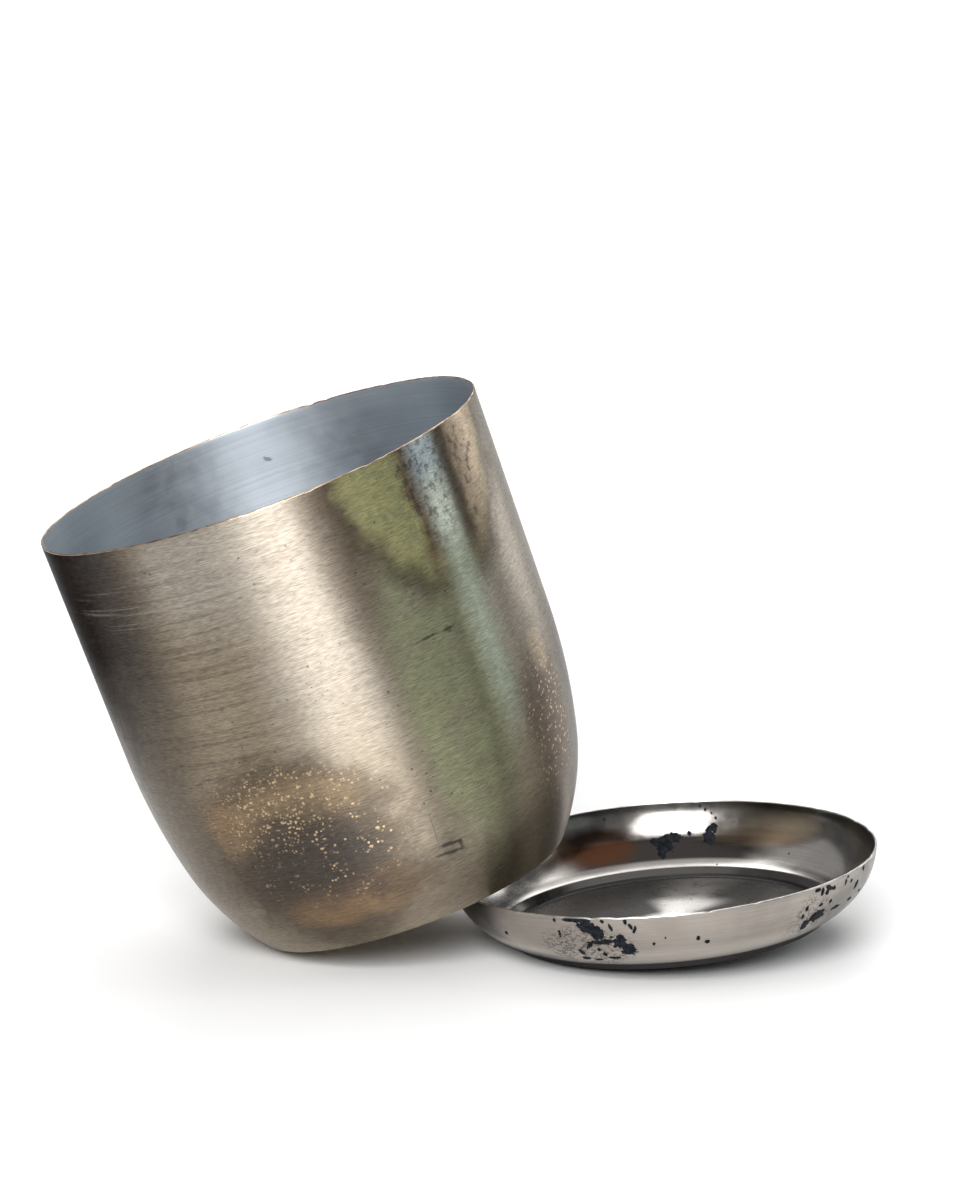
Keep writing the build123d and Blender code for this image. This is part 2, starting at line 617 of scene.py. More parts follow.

# %% [markdown]
# ### Painted reflections and shade
#
# The left of the wall is darker in wide soft bands, darkest at the upper left,
# and so is the foot of the wall. The left is painted dark reflections of the
# surroundings, the foot is painted shade, and a lighter spot by the glare is a
# painted highlight. Bands, levels and large spots suit it, with thin dark lines
# along the brush marks. The specular tint is lowered too, which keeps the
# darkest part dark where the wall turns away.


# %% Smoke on the left and along the base
def smoke(f, cloud):
    """Painted dark reflections towards the left, blackest at the upper left, and painted shade round the
    base.
    """
    # Painted dark reflections: wide bands over the left, darkest at the upper left.
    f.paint(f.times(f.band(-100, -12, 8), f.level(-20, 60, 12)), LEFT_REFLECTION_DIM, 0.8)
    # A painted highlight: the glare spreads lighter towards the upper left.
    f.paint(f.spot(-19, 5, 10, 12, 0.6, cloud, 0.5), (0.42, 0.38, 0.325), 0.8)
    f.paint(f.times(f.band(-100, -36, 9), f.level(-20, 34, 14)), LEFT_REFLECTION_DARK, 0.78)
    f.paint(f.times(f.band(-100, -42, 9), f.level(30, 70, 10)), (0.10, 0.083, 0.065), 0.7)
    # Partly the heat fan's brown edge, partly painted shade along the glare's right side.
    f.paint(f.times(f.band(16.5, 26, 4), f.level(-20, 70, 8)), (0.21, 0.18, 0.135), 0.6)
    lines = f.ramp(f.brushing(0.8, 45, 44, 2.0), 0.5, 0.66)
    f.paint(f.times(f.band(-90, -12, 10), f.level(3, 50, 6), lines), (0.12, 0.096, 0.075), 0.36)
    # A painted dark reflection, near black, at the upper left.
    dark_left_reflection = f.spot(-66, 2, 17.5, 32, 0.55, cloud, 0.4)
    f.paint(dark_left_reflection, SOOT_AND_DARK_REFLECTION, 0.88)
    f.set(Specular_Tint=f.mix(dark_left_reflection, WHITE, (0.33, 0.33, 0.33)))
    # Painted shade: the foot of the wall and the lower right are darkened.
    f.paint(f.spot(-2, 73.0, 30, 5.5, 0.6, cloud, 0.4), (0.17, 0.14, 0.105), 0.8)
    f.paint(f.spot(62, 72.5, 22, 9.5, 0.45, cloud, 0.5), DEEP_BROWN, 0.85)
    f.paint(f.spot(49, 54, 11, 11, 0.6, cloud, 0.5), DEEP_BROWN, 0.7)
    f.paint(f.times(f.band(60, 110, 6), f.level(38, 90, 12)), (0.15, 0.132, 0.11), 0.8)
    f.made("smoke")


# %% [markdown]
# ### The heat fan
#
# Heat colours steel from straw through brown to blue. Here the colours hang from
# the rim as a fan on the right. One oval gives its outline, and the same mask
# is reused with angle ramps to part it into olive, brown and tan. The blue and
# green stripe that runs on down the wall is a painted reflection of a light,
# with a painted highlight in it. The green zone beside it may be a reflection
# on the real piece; it is painted as a tint here.


# %% The fan of heat colours
def green_zone(f, cloud):
    """The patchy green that runs down the wall below the fan."""
    patchy = f.ramp(f.noise(6, 4, 0.6, seed=33), 0.32, 0.6, 0.6, 1.0)
    f.paint(f.times(f.spot(33, 36, 8.6, 31, 0.38, cloud, 0.6), patchy), MOSS, 0.88)


def heat_fan(f, cloud):
    """The fan that hangs from the rim: brown edge, olive left, brown middle, a painted reflection stripe in
    blue and green, tan right.
    """
    # Partly the fan's brown edge, partly painted shade along the glare's right side.
    f.paint(f.spot(17.5, 5, 4.5, 24, 0.6, cloud, 0.5), DEEP_BROWN, 0.62)
    f.paint(f.spot(47, 0, 20.0, 26.0, 0.14, cloud, 0.35), DEEP_BROWN, 0.80)
    body = f.spot(47, 0, 16.5, 21.5, 0.15, cloud, 0.42)
    f.paint(body, OLIVE)
    f.paint(f.times(body, f.ramp(f.noise(2.2, 3, seed=28), 0.48, 0.62)), MOSS, 0.6)
    turn = f.math("MULTIPLY_ADD", f.math("SUBTRACT", cloud, 0.5), 0.16, f.angle)
    f.paint(f.times(body, f.ramp(turn, math.radians(37), math.radians(41))), BROWN, 0.9)
    f.paint(f.times(body, f.ramp(turn, math.radians(55), math.radians(60))), TAN)
    f.paint(f.times(body, f.ramp(f.noise(1.8, 4, seed=29), 0.52, 0.64), f.band(56, 80, 3)), BROWN, 0.75)
    # The stripe is a painted reflection of a light: blue at the top, green below, with a painted highlight
    # near the top.
    f.paint(f.times(f.band(42.5, 53, 3), f.level(-9, 9, 5)), STRIPE_BLUE_REFLECTION, 0.85)
    f.paint(f.times(f.band(38.5, 43, 2.5), f.level(24, 62, 8)), (0.19, 0.18, 0.12), 0.55)
    f.paint(f.times(f.band(44, 53, 3), f.level(9, 50, 9)), STRIPE_GREEN_REFLECTION, 0.85)
    f.paint(f.times(f.band(44, 53, 3), f.level(8, 17, 5)), (0.50, 0.52, 0.47), 0.8)
    sooty = f.ramp(f.noise(1.5, 4, 0.7, seed=30), 0.47, 0.6)
    f.paint(f.times(f.spot(46, 5, 6, 12, 0.5), sooty), SOOT_AND_DARK_REFLECTION, 0.65)
    f.paint(f.times(body, f.band(53, 57, 1.4)), SOOT_AND_DARK_REFLECTION, 0.55)
    f.made("the heat fan")


# %% [markdown]
# ### The round stain and the side stain
#
# A burnt disc lies low on the front: a dark outline, a tan crescent and a dark
# core, under golden specks. Each part is one oval with a ragged edge. Specks
# come from cell distances, which give round dots of mixed sizes, and a cloud
# mask gathers them into clusters.


# %% The burnt disc and the speckled run
def round_stain(f, cloud):
    """The burnt disc low on the front, with a dark core, a tan crescent and golden specks."""
    f.paint(f.spot(-19, 58.5, 19.5, 18.5, 0.2, cloud, 0.6), (0.12, 0.094, 0.07), 0.84)
    f.paint(f.spot(-18, 49.5, 11.0, 5.0, 0.5, cloud, 1.0), (0.34, 0.25, 0.155), 0.75)
    f.paint(f.spot(-37, 51, 4.5, 5.0, 0.5, cloud, 0.9), (0.30, 0.21, 0.13), 0.7)
    f.paint(f.spot(-12, 68, 15.0, 4.2, 0.35, cloud, 1.1, -4), BURNT_TAN, 0.8)
    f.paint(f.spot(6, 66.5, 8.5, 4.0, 0.5, cloud, 1.2, -8), (0.10, 0.078, 0.058), 0.75)
    f.paint(f.spot(-16, 58.5, 11.5, 8.8, 0.40, cloud, 1.0, 12), (0.085, 0.073, 0.066), 0.86)
    f.paint(f.spot(-33, 62, 7.0, 6.0, 0.5, cloud, 0.8), (0.085, 0.07, 0.06), 0.65)
    near = f.spot(-20, 48.5, 11.0, 6.5, 0.5, cloud, 0.8)
    thinning = f.ramp(f.noise(3, 2, seed=9), 0.42, 0.6)
    where = f.math("MAXIMUM", near, f.times(f.spot(-12, 56, 15.0, 11.0, 0.5, cloud, 0.7), thinning))
    cluster = f.ramp(f.noise(2.2, 3, 0.6, seed=8), 0.42, 0.58)
    f.paint(f.times(f.dots(0.85, 0.55, 21), where, cluster), GOLD, 0.95)
    f.paint(f.times(f.dots(0.7, 0.44, 27), f.spot(-23, 50, 12, 8, 0.5, cloud, 0.8), cluster), GOLD, 0.85)
    sparse = f.ramp(f.noise(2.5, 2, seed=18), 0.5, 0.6)
    f.paint(f.times(f.dots(1.3, 0.9, 4, 1.6), where, sparse), GOLD, 0.85)
    f.made("the round stain")


def side_stain(f, cloud):
    """A speckled brown run on the right."""
    run = f.spot(64, 53, 6.5, 12.0, 0.4, cloud, 1.0)
    f.paint(run, (0.17, 0.13, 0.10), 0.75)
    f.paint(f.times(f.dots(0.9, 0.6, 33), run), GOLD, 0.8)
    f.paint(f.spot(66, 42, 3.0, 3.5, 0.4, cloud, 1.2), TAN, 0.5)
    f.made("the side stain")


# %% [markdown]
# ### Scratches and flecks
#
# A scratch cuts through every tint, so it goes on after them. Each is a very
# flat oval with a ragged edge, and too shallow to need geometry.


# %% Scratches, handling lines and dark flecks
def scratches(f):
    """Marks that go through the finish."""
    wobble = f.noise(1.0, 3, seed=17)
    f.paint(f.spot(20.0, 64.4, 2.4, 0.32, 0.5, wobble, 2.2, 5), SOOT_AND_DARK_REFLECTION, 0.85)
    f.paint(f.spot(18.8, 65.9, 2.9, 0.28, 0.5, wobble, 2.2, 5), SOOT_AND_DARK_REFLECTION, 0.8)
    f.paint(f.spot(22.6, 65.1, 0.35, 0.9, 0.5, wobble, 1.6), SOOT_AND_DARK_REFLECTION, 0.7)
    f.paint(f.spot(16.2, 61, 0.10, 3.4, 0.5, wobble, 1.0), (0.12, 0.10, 0.08), 0.45)
    f.paint(f.spot(31, 30.4, 1.7, 0.20, 0.5, wobble, 1.8), SOOT_AND_DARK_REFLECTION, 0.75)
    f.paint(f.spot(37.5, 30.6, 1.2, 0.28, 0.5, wobble, 1.8), SOOT_AND_DARK_REFLECTION, 0.75)
    pale = f.times(f.band(-62, -8, 8), f.ramp(f.brushing(0.3, 22, 41), 0.55, 0.72), f.level(7, 15, 3))
    f.paint(pale, (0.62, 0.57, 0.50), 0.22)
    f.made("scratches")


def flecks(f):
    """Loose dark flecks all over, in two sizes."""
    f.paint(f.times(f.dots(2.4, 0.55, 51), f.ramp(f.noise(12, 2, seed=19), 0.45, 0.6)), SOOT_AND_DARK_REFLECTION, 0.7)
    f.paint(f.times(f.dots(1.3, 0.34, 52), f.ramp(f.noise(9, 2, seed=20), 0.42, 0.6)), SOOT_AND_DARK_REFLECTION, 0.5)
    f.made("flecks")


# %% [markdown]
# ### All the layers together
#
# The brush lines come last. Three widths are added into one pattern, which
# lights the colour and drives the bump, so both agree. Anisotropy then spreads
# each light along the axis.


# %% The cup's outside
def brush_lines(f):
    """Fine, long and broad streaks in one pattern."""
    fine = f.brushing(0.15, 1.4, 1, 2.0)
    long = f.brushing(0.22, 6, 5)
    broad = f.brushing(2.0, 60, 8)
    long_and_broad = f.math("MULTIPLY_ADD", long, 0.20, f.times(broad, 0.08))
    return f.math("MULTIPLY_ADD", fine, 0.72, long_and_broad)


def cup_outside():
    f = Finish("cup_brushed_heat_tinted", cup_height, mouth_radius)
    cloud = f.noise(7, 5, 0.62, seed=3)
    f.colour = f.mix(f.ramp(f.noise(24, 3, 0.55, (1, 1, 0.6), 2), 0.35, 0.65), STEEL_DEEP, STEEL)
    f.paint(f.ramp(f.down, 28, 56), (0.385, 0.325, 0.245), 0.8)
    smoke(f, cloud)
    green_zone(f, cloud)
    heat_fan(f, cloud)
    round_stain(f, cloud)
    side_stain(f, cloud)
    scratches(f)
    flecks(f)
    streak = brush_lines(f)
    f.brighten(f.ramp(streak, 0.34, 0.66, 0.66, 1.34, smooth=False))
    f.set(Base_Color=f.colour, Metallic=1.0)
    f.set(Roughness=f.ramp(f.noise(1.4, 4, 0.7, seed=7), 0.3, 0.7, 0.42, 0.50))
    f.set(Normal=f.bump(streak, 0.014, 0.7))
    f.brushed(0.88)
    f.made("all its layers")
    return f.material


cup.data.materials.append(cup_outside())

# %% [markdown]
# ## The cup's inside and its cut edge
#
# The inside is an even, satin, slightly blue grey, with faint lines around it
# and one small nick. It has none of the outside's tints, so it gets a material
# of its own. The rim is a thin coppery line where the sheet was cut. The lip is
# real geometry, so the edge's material only has to carry its colour.


# %% The cup's cut edge and its inside
def rim_edge(name, dark, light, rim_height, size):
    """A bare cut edge, uneven between a dark and a light metal."""
    f = Finish(name, rim_height, size)
    f.colour = f.mix(f.ramp(f.noise(2.5, 3, 0.6), 0.35, 0.65), dark, light)
    f.set(Base_Color=f.colour, Metallic=1.0, Roughness=0.32)
    f.set(Normal=f.bump(f.noise(0.3, 2), 0.02, 0.5))
    f.made("its metal")
    return f.material


def cup_inside():
    f = Finish("cup_satin_inside", cup_height, mouth_radius, inside=True)
    grain = f.brushing(0.35, 24, 12)
    washed = f.ramp(f.noise(18, 3, 0.5, seed=4), 0.35, 0.65)
    f.colour = f.mix(washed, (0.43, 0.47, 0.51), (0.50, 0.54, 0.58))
    f.paint(f.spot(183, 6.8, 0.7, 0.35, 0.5, f.noise(0.6, 3), 2.2, -25), (0.16, 0.16, 0.16), 0.75)
    return f.metal(grain, (0.92, 1.06), f.noise(3, 3, 0.6), (0.46, 0.54), 0.006, 0.35)


coppery = ((0.30, 0.19, 0.12), (0.62, 0.48, 0.36))
cup.data.materials.append(rim_edge("cup_cut_edge", *coppery, cup_height, mouth_radius))
cup.data.materials.append(cup_inside())

# %% [markdown]
# ## The dish's outside
#
# The outside is satin and slightly warm, and its lines are circles too. A pale
# band round the lower wall is a painted reflection, and dark reflections of the
# surroundings are painted in at both sides, with painted shade underneath, as
# on the cup. The thin wrinkles around the crust are the crease of a noise
# pattern: only its values near the middle are kept.


# %% The dish's outside and its cut edge
def dish_outside():
    f = Finish("dish_satin_outside", dish_height, dish_radius)
    cloud = f.noise(3.5, 4, 0.6, seed=14)
    grain = f.brushing(0.2, 9, 31)
    satin = f.ramp(f.noise(12, 3, 0.5, seed=14), 0.35, 0.65)
    f.colour = f.mix(satin, (0.333, 0.30, 0.268), (0.395, 0.357, 0.321))
    # Painted dark reflections at the left and right sides, painted shade low on the left, and a painted pale
    # reflection round the lower wall.
    f.paint(f.band(-100, -54, 5), (0.13, 0.122, 0.115), 0.8)
    f.paint(f.level(6.8, 9.4, 0.9), (0.52, 0.475, 0.43), 0.75)
    f.paint(f.times(f.band(-100, -36, 9), f.ramp(f.down, 7.6, 9.4)), (0.05, 0.05, 0.055), 0.88)
    f.paint(f.spot(60, 6.5, 8, 5, 0.5, cloud, 0.4), (0.12, 0.113, 0.106), 0.8)
    f.paint(f.band(66, 100, 5), (0.14, 0.133, 0.126), 0.75)
    # Painted shade underneath, where the wall turns down towards the floor.
    under = f.ramp(f.down, 9.75, 10.4)
    f.paint(under, (0.03, 0.03, 0.034), 0.9)
    f.set(Specular_Tint=f.mix(under, WHITE, (0.5, 0.5, 0.5)))
    wrinkle = f.math("ABSOLUTE", f.math("SUBTRACT", f.noise(1.3, 3, 0.6, (1, 1, 1.5), 26), 0.5))
    lines = f.ramp(wrinkle, 0.05, 0.015)
    f.paint(f.times(lines, f.spot(-24, 6.0, 8.5, 4.2, 0.25, cloud, 0.6)), (0.075, 0.07, 0.066), 0.85)
    f.paint(f.times(lines, f.spot(44, 5.5, 5.5, 4.0, 0.3, cloud, 0.6)), (0.08, 0.076, 0.072), 0.75)
    return f.metal(grain, (0.90, 1.08), f.noise(2.5, 3, 0.6, seed=6), (0.34, 0.44), 0.006, 0.5)


bright_steel = ((0.50, 0.47, 0.44), (0.75, 0.72, 0.68))
dish.data.materials.append(dish_outside())
dish.data.materials.append(rim_edge("dish_cut_edge", *bright_steel, dish_height, dish_radius))

# %% [markdown]
# ## The dish's inside
#
# Inside, the wall is nearly a mirror, and most of its layers are painted
# reflections. The layers follow it down: a dark line below the rim, a pale green
# spot, a brown patch where the cup is mirrored, the dark band under the glare,
# then the paler ring and a line of painted shade in the seat's corner. Depth is
# what sets them apart, so most are levels, cut to a sector by a band.


# %% The dish's inside wall
def dish_inside():
    f = Finish("dish_polished_inside", dish_height, dish_radius, inside=True)
    cloud = f.noise(4.5, 4, 0.6, seed=24)
    grain = f.brushing(0.2, 16, 35)
    polish = f.ramp(f.noise(12, 3, 0.5, seed=14), 0.35, 0.65)
    f.colour = f.mix(polish, (0.52, 0.49, 0.46), (0.60, 0.57, 0.535))
    # Painted dark reflection below the rim, deeper on the right.
    f.paint(f.level(-1, 1.2, 0.6), (0.14, 0.14, 0.14), 0.85)
    f.paint(f.times(f.band(60, 132, 10), f.level(-1, 2.4, 0.8)), (0.10, 0.10, 0.10), 0.8)
    # A painted reflection of a green light.
    f.paint(f.spot(204, 1.7, 3.0, 0.9, 0.5), (0.80, 0.86, 0.78), 0.9)
    # A painted dark reflection in a band under the glare.
    dark_reflection_under_glare = f.times(f.band(146, 212, 9), f.level(5.7, 9.1, 0.35))
    f.paint(dark_reflection_under_glare, (0.024, 0.021, 0.020), 0.965)
    # Painted reflections of the brown cup.
    f.paint(f.spot(200, 5.9, 8.0, 2.9, 0.35, cloud, 0.6), (0.085, 0.036, 0.018), 0.92)
    f.paint(f.spot(216, 5.0, 4.5, 2.2, 0.5, cloud, 0.7), (0.30, 0.20, 0.12), 0.6)
    f.paint(f.spot(148, 5.6, 9.0, 1.3, 0.6, f.brushing(0.8, 6, 37), 1.0), (0.30, 0.235, 0.18), 0.7)
    f.paint(f.level(9.0, 9.6, 0.3), (0.24, 0.228, 0.212), 0.8)
    f.paint(f.times(f.band(197, 232, 8), f.level(9.0, 9.8, 0.3)), (0.11, 0.104, 0.097), 0.65)
    # Painted shade in the seat's corner.
    f.paint(f.ramp(f.down, 9.75, 9.95), (0.04, 0.038, 0.036), 0.9)
    f.paint(f.times(f.dots(2.2, 0.6, 61), f.ramp(cloud, 0.45, 0.6)), SOOT_AND_DARK_REFLECTION, 0.8)
    return f.metal(grain, (0.92, 1.06), f.noise(2.5, 3, 0.6, seed=6), (0.17, 0.23), 0.003, 0.1)


dish.data.materials.append(dish_inside())

# %% [markdown]
# ## The dish's centre panel
#
# Circular brush lines on a flat disc give a glare like a fan. Strong anisotropy
# gives part of it, and painted sectors and rings give the rest, because little
# in this plain studio is dark enough to be mirrored.


# %% The dish's centre panel
def dish_panel():
    f = Finish("dish_spun_panel", dish_height, dish_radius, inside=True)
    cloud = f.noise(4.5, 4, 0.6, seed=24)
    grain = f.brushing(0.2, 16, 36)
    f.colour = f.mix(f.ramp(cloud, 0.3, 0.7), (0.095, 0.088, 0.082), (0.15, 0.14, 0.13))
    dark_sector = f.math("MAXIMUM", f.band(112, 152, 9), f.band(178, 262, 10))
    f.paint(dark_sector, (0.012, 0.011, 0.010), 0.85)
    f.paint(f.band(40, 106, 8), (0.30, 0.285, 0.27), 0.85)
    f.paint(f.times(f.ramp(f.radius, 16.5, 11), f.band(133, 188, 10)), (0.50, 0.48, 0.46), 0.9)
    f.paint(f.ramp(f.radius, 7, 3), (0.66, 0.64, 0.61), 0.9)
    ring = f.ramp(f.radius, 25.6, 26.5)
    f.paint(ring, (0.035, 0.033, 0.032), 0.85)
    shade = f.math("MAXIMUM", f.times(ring, 0.35), f.times(dark_sector, 0.25))
    f.set(Specular_Tint=f.mix(shade, WHITE, (0.1, 0.1, 0.1)))
    f.paint(f.times(f.dots(2.2, 0.7, 61), f.ramp(cloud, 0.45, 0.6)), SOOT_AND_DARK_REFLECTION, 0.8)
    return f.metal(grain, (0.90, 1.08), f.noise(2.5, 3, 0.6, seed=6), (0.26, 0.33), 0.003, 0.75)


dish.data.materials.append(dish_panel())

# %% [markdown]
# ## Letting the sheets ride
#
# Each sheet takes the place of its model's piece and rides on that piece's
# body, so the cup's sheet lifts with the cup, and its stains go with it.

# %% Let the sheets ride
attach(cup, "cup")
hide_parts("mould_cup")
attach(dish, "dish")
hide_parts("base_dish")
print("cup finishes", len(cup.data.materials), "dish finishes", len(dish.data.materials))

# %% [markdown]
# ## Burnt crust on the dish
#
# Something has burnt on in black chips about a tenth of a millimetre thick.
# Paint would look flat where they meet the light, so they are meshes. Their
# places are looked up along the wall line that made the sheet, with its wear.


# %% Where a place on the dish's wall is
def wall_lookup(inset, direction):
    """Find a point and its normal, in mm, from (angle in degrees, mm down the wall).

    The normal leaves the sheet: direction is 1 on the outer face and -1 on the inner one.
    """
    points = wall_line(dish_radius, dish_height, dish_draft, dish_path, inset, 0.1)
    if inset:
        points = [(r, z) for r, z in points if z < dish_height]
    rs = np.array([p[0] for p in points])
    zs = np.array([p[1] for p in points])
    lengths = np.concatenate([[0], np.cumsum(np.hypot(np.diff(rs), np.diff(zs)))])
    step = 0.2

    def place(angle, depth):
        above, below = max(depth - step, 0), depth + step
        dr = np.interp(below, lengths, rs) - np.interp(above, lengths, rs)
        dz = np.interp(below, lengths, zs) - np.interp(above, lengths, zs)
        a = math.radians(angle)
        wr, wz = worn(np.interp(depth, lengths, rs), np.interp(depth, lengths, zs), a, dish_wear)
        out = Vector((-dz * math.sin(a), dz * math.cos(a), dr)).normalized() * direction
        return Vector((wr * math.sin(a), -wr * math.cos(a), wz)), out
    return place


outer_wall = wall_lookup(0.0, 1.0)
inner_wall = wall_lookup(dish_sheet, -1.0)
print("4 mm down the outer wall lies", [round(c, 2) for c in outer_wall(0, 4)[0]], "mm from the base centre")

# %% [markdown]
# ### Chips cut from a fine grid
#
# Each cluster is cut from a fine grid laid on the wall: a square is kept where
# a chip's oval, made ragged with noise, covers it. The kept squares become a
# thin closed shell, thicker in the middle, with real edges.

# %% Cut a cluster of chips from a grid
grid_step = 0.11
top_row = 2
per_mm = 180 / (math.pi * dish_radius)


def chip_squares(chips, seed):
    """Kept grid squares; a chip is (angle, depth, half width, half height, tilt)."""
    kept = {}
    for angle, depth, wide, tall, tilt in chips:
        c, s = math.cos(math.radians(tilt)), math.sin(math.radians(tilt))
        span = int((1.5 * max(wide, tall) + 0.4) / grid_step)
        middle_i, middle_j = round(angle / (grid_step * per_mm)), round(depth / grid_step)
        for i in range(middle_i - span, middle_i + span + 1):
            for j in range(max(top_row, middle_j - span), middle_j + span + 1):
                u, v = (i * grid_step * per_mm - angle) / per_mm, j * grid_step - depth
                reach = math.hypot((u * c + v * s) / wide, (v * c - u * s) / tall)
                where = Vector((i * grid_step, j * grid_step, seed))
                reach += 0.45 * noise.noise(where / 0.9) + 0.28 * noise.noise(where / 0.35)
                if reach < 1:
                    kept[i, j] = max(kept.get((i, j), 0), 1 - reach)
    return kept


print("one round chip of 1 mm keeps", len(chip_squares([(0, 5, 0.5, 0.5, 0)], 1.0)), "squares")

# %% Close the chips into a thin shell
crust_height = 0.11
crust_sunk = 0.03


def crust_shell(name, place, kept, seed):
    """Turn kept grid squares into a closed shell on the wall, thin at its edges."""
    corners = {}
    for (i, j), depth_in in kept.items():
        for corner in ((i, j), (i + 1, j), (i + 1, j + 1), (i, j + 1)):
            corners.setdefault(corner, []).append(depth_in)
    index, verts = {}, []
    for (i, j), inside in corners.items():
        point, out = place(i * grid_step * per_mm, j * grid_step)
        edge = len(inside) < 4
        lift = 0.35 * crust_height if edge else crust_height * (0.6 + 0.8 * min(max(inside), 0.5))
        lift += 0.25 * crust_height * noise.noise(Vector((i, j, seed)) * 0.45)
        index[i, j] = len(verts)
        verts.append((point + out * lift) * MM)
        verts.append((point - out * crust_sunk) * MM)
    faces = []
    for i, j in kept:
        a, b, c, d = (index[k] for k in ((i, j), (i + 1, j), (i + 1, j + 1), (i, j + 1)))
        faces += [(a, b, c, d), (d + 1, c + 1, b + 1, a + 1)]
        for di, dj, p, q in ((0, -1, a, b), (1, 0, b, c), (0, 1, c, d), (-1, 0, d, a)):
            if (i + di, j + dj) not in kept:
                faces.append((q, p, p + 1, q + 1))
    mesh = bpy.data.meshes.new(name)
    mesh.from_pydata(verts, [], faces)
    shell = bmesh.new()
    shell.from_mesh(mesh)
    bmesh.ops.recalc_face_normals(shell, faces=shell.faces)
    shell.to_mesh(mesh)
    shell.free()
    piece = add_object(name, mesh)
    piece.matrix_world = dish.matrix_world
    print(name, len(faces), "faces")
    return piece


# %% [markdown]
# ### Where the chips are
#
# Two clusters sit on the outside of the front wall and one on the far wall
# inside. Each is a list of ovals: a few overlapping ones make an odd outline.

# %% The chips outside and inside the dish
left_chips = [
    (-25.5, 0.45, 2.6, 0.40, 0), (-22, 1.7, 1.7, 1.1, 20), (-20, 2.7, 1.3, 1.4, 35),
    (-17.8, 0.6, 0.4, 0.5, 0), (-15.8, 1.7, 0.25, 0.7, -20), (-11.6, 0.7, 0.35, 0.6, 0),
    (-10.4, 1.6, 0.25, 0.8, -25), (-9.4, 2.2, 0.3, 0.8, 20), (-13.8, 4.9, 1.7, 1.5, 55),
    (-11.8, 6.2, 2.0, 1.3, 60), (-12.6, 7.3, 1.4, 0.8, 0), (-18.2, 4.7, 2.6, 0.5, -6),
    (-22.6, 5.4, 1.3, 0.30, -50), (-26.4, 7.4, 0.5, 0.8, -15), (-20.6, 6.6, 0.3, 0.5, 10),
    (-19.5, 8.0, 0.35, 0.7, 0), (-17.2, 9.2, 1.3, 0.45, 0), (-30.8, 3.2, 0.25, 0.6, 0),
    (-31.5, 0.7, 0.2, 0.3, 0), (-26.2, 9.6, 0.8, 0.5, 0), (-22.4, 10.0, 1.0, 0.3, 0),
    (7.3, 5.0, 0.38, 0.5, 0), (9.8, 6.0, 0.42, 0.5, 20), (-4.7, 5.5, 0.3, 0.4, 0),
    (-1.5, 4.2, 0.15, 0.3, 0), (-51, 5.0, 0.3, 0.35, 30)]
right_chips = [
    (43.5, 0.6, 0.7, 0.3, 0), (45.5, 1.3, 0.35, 0.8, 10), (48.3, 0.9, 1.0, 0.35, 25),
    (47.5, 1.6, 0.4, 0.5, 0), (50.5, 1.4, 0.5, 0.4, 0), (40.3, 3.5, 0.3, 0.4, 0),
    (46.0, 3.8, 0.5, 0.3, 0), (50.0, 3.8, 0.28, 0.4, 0), (46.0, 6.0, 2.0, 1.2, 10),
    (42.0, 7.4, 0.8, 1.4, -15), (39.4, 5.0, 0.25, 0.5, 0), (54.0, 5.8, 1.2, 0.45, -5),
    (56.0, 1.3, 0.25, 0.5, 20), (59.2, 1.6, 0.3, 0.35, 0), (57.0, 0.5, 0.3, 0.25, 0),
    (63.0, 3.0, 0.35, 0.8, 30), (66.5, 0.7, 0.4, 0.4, 0), (68, 5.2, 0.6, 0.3, 0),
    (61.5, 5.6, 0.9, 0.3, 0)]
inner_chips = [
    (178.5, 7.4, 1.5, 1.7, 0), (176.0, 6.2, 1.8, 0.9, 0), (179.5, 9.4, 0.8, 1.0, 0),
    (165, 6.4, 1.1, 1.6, 10), (164.2, 4.7, 0.9, 0.8, 0), (181.5, 6.6, 0.9, 0.6, 0),
    (171, 5.6, 0.4, 0.5, 0), (168, 0.9, 0.25, 0.25, 0), (166.4, 1.5, 0.2, 0.3, 0),
    (164.6, 2.1, 0.25, 0.25, 0), (163.4, 3.0, 0.25, 0.35, 0)]
print(len(left_chips), "chips left,", len(right_chips), "right and", len(inner_chips), "inside")


# %% Make the crust and let it ride
def burnt_crust():
    """Matt blue-black, with hardly any shine."""
    f = Finish("burnt_crust", dish_height, dish_radius)
    charred = f.ramp(f.noise(0.8, 4, 0.6, seed=44), 0.35, 0.65)
    f.colour = f.mix(charred, (0.004, 0.005, 0.007), (0.016, 0.019, 0.024))
    f.set(Base_Color=f.colour, Roughness=f.ramp(f.noise(0.5, 3, seed=45), 0.3, 0.7, 0.45, 0.7))
    f.set(Specular_IOR_Level=0.06)
    f.set(Normal=f.bump(f.noise(0.25, 3, 0.6, seed=46), 0.04, 0.7))
    f.made("its black")
    return f.material


crust_black = burnt_crust()
for name, place, chips, seed in (("crust_left", outer_wall, left_chips, 3.0),
                                 ("crust_right", outer_wall, right_chips, 5.0),
                                 ("crust_inside", inner_wall, inner_chips, 7.0)):
    piece = crust_shell(name, place, chip_squares(chips, seed), seed)
    piece.data.materials.append(crust_black)
    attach(piece, "dish")

# %% [markdown]
# ## The floor
#
# A plain, matt, nearly white square, far wider than the pieces. It is not part
# of the object and rides on no body.


# %% The floor
def floor():
    side = 6.0
    corners = [(-side, -side, 0), (side, -side, 0), (side, side, 0), (-side, side, 0)]
    mesh = bpy.data.meshes.new("floor")
    mesh.from_pydata(corners, [], [(0, 1, 2, 3)])
    plane = add_object("floor", mesh)
    material = bpy.data.materials.new("floor_white")
    material.use_nodes = True
    shader = material.node_tree.nodes["Principled BSDF"]
    shader.inputs["Base Color"].default_value = (0.93, 0.93, 0.93, 1)
    shader.inputs["Roughness"].default_value = 0.9
    mesh.materials.append(material)
    print("floor is", 2 * side, "m wide")


floor()

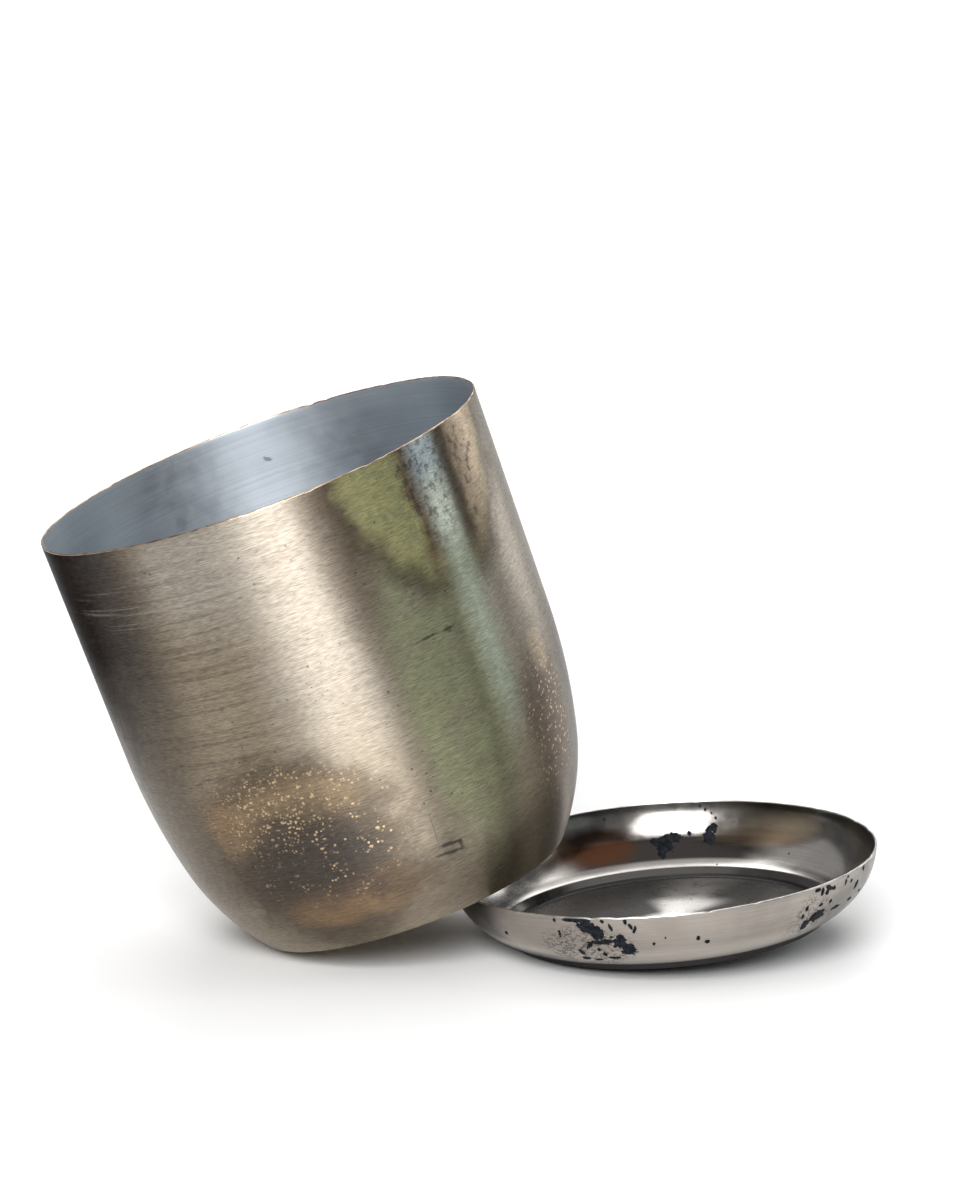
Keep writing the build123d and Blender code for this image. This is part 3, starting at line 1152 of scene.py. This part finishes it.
# %% [markdown]
# ## The lights
#
# A soft key just left of the camera makes the long glare on the cup. A narrow
# strip on the right makes the second, thinner one. A wide panel overhead lights
# the floor around the pieces, two weak lights lift the sides and the back, and
# one over the floor behind keeps the background white. The rest of the room
# stays dark, so that the polished metal has something dark to mirror.

# %% The lights
middle = Vector((0, 0, 0.04))


def soft_light(name, turn, rise, distance, width, height, power, colour=(1, 1, 1)):
    """An area light seen from the object at a turn (deg right of the camera) and a rise (deg)."""
    data = bpy.data.lights.new(name, "AREA")
    data.shape = "RECTANGLE"
    data.size, data.size_y = width, height
    data.energy = power
    data.color = colour
    lamp = add_object(name, data)
    a, b = math.radians(turn), math.radians(rise)
    away = Vector((math.sin(a) * math.cos(b), -math.cos(a) * math.cos(b), math.sin(b)))
    lamp.location = middle + away * distance
    lamp.rotation_euler = away.to_track_quat("Z", "Y").to_euler()
    lamp.visible_camera = False
    print(name, power, "W at", [round(c, 2) for c in lamp.location])
    return lamp


soft_light("key_softbox", -10, 31, 1.0, 0.58, 0.54, 12.2)
soft_light("overhead", 0, 89, 1.4, 1.6, 1.6, 8.0)
soft_light("left_back", -132, 38, 1.0, 0.8, 0.8, 0.6)
soft_light("right_strip", 90, 25, 0.9, 0.16, 0.6, 1.1, (0.93, 1.0, 0.95))
soft_light("right_fill", 134, 18, 1.0, 0.35, 0.5, 1.2)
far_light = soft_light("floor_behind", 0, 90, 1.0, 0.6, 1.2, 7.0)
far_light.location = (0, 0.9, 0.6)
far_light.rotation_euler = (0, 0, 0)

# %% The room's faint light
world = bpy.data.worlds.new("studio")
world.use_nodes = True
background = world.node_tree.nodes["Background"]
background.inputs["Color"].default_value = (0.95, 0.97, 1.0, 1)
background.inputs["Strength"].default_value = 0.08
bpy.context.scene.world = world
bpy.context.scene.view_settings.view_transform = "Standard"
print("the room gives", round(background.inputs["Strength"].default_value, 2))

# %% [markdown]
# ## The camera
#
# A long lens from about a metre away looks slightly down. Its aim and distance
# are in mouth radii, so they would follow the cup if its size changed.

# %% The camera
tilt = math.radians(12.992)
aim_right, aim_up, view_distance = 0.287, 1.519, 27.597
aim = Vector((aim_right * mouth_radius * MM + cup_x, 0, aim_up * mouth_radius * MM))
reach = view_distance * mouth_radius * MM
camera_data = bpy.data.cameras.new("camera")
camera_data.lens = 190.3
camera_data.sensor_width = 36.0
camera_data.clip_start = 0.05
camera_data.clip_end = 20.0
camera = add_object("camera", camera_data)
camera.location = aim + reach * Vector((0, -math.cos(tilt), math.sin(tilt)))
camera.rotation_euler = (math.pi / 2 - tilt, 0, 0)
bpy.context.scene.camera = camera
print("camera", round(reach, 2), "m away, looking", round(math.degrees(tilt), 1), "degrees down")

# %% [markdown]
# ## Sizes
#
# The model's own boxes are read at the start, and how far each sheet leaves its
# box is printed where the pieces stand.
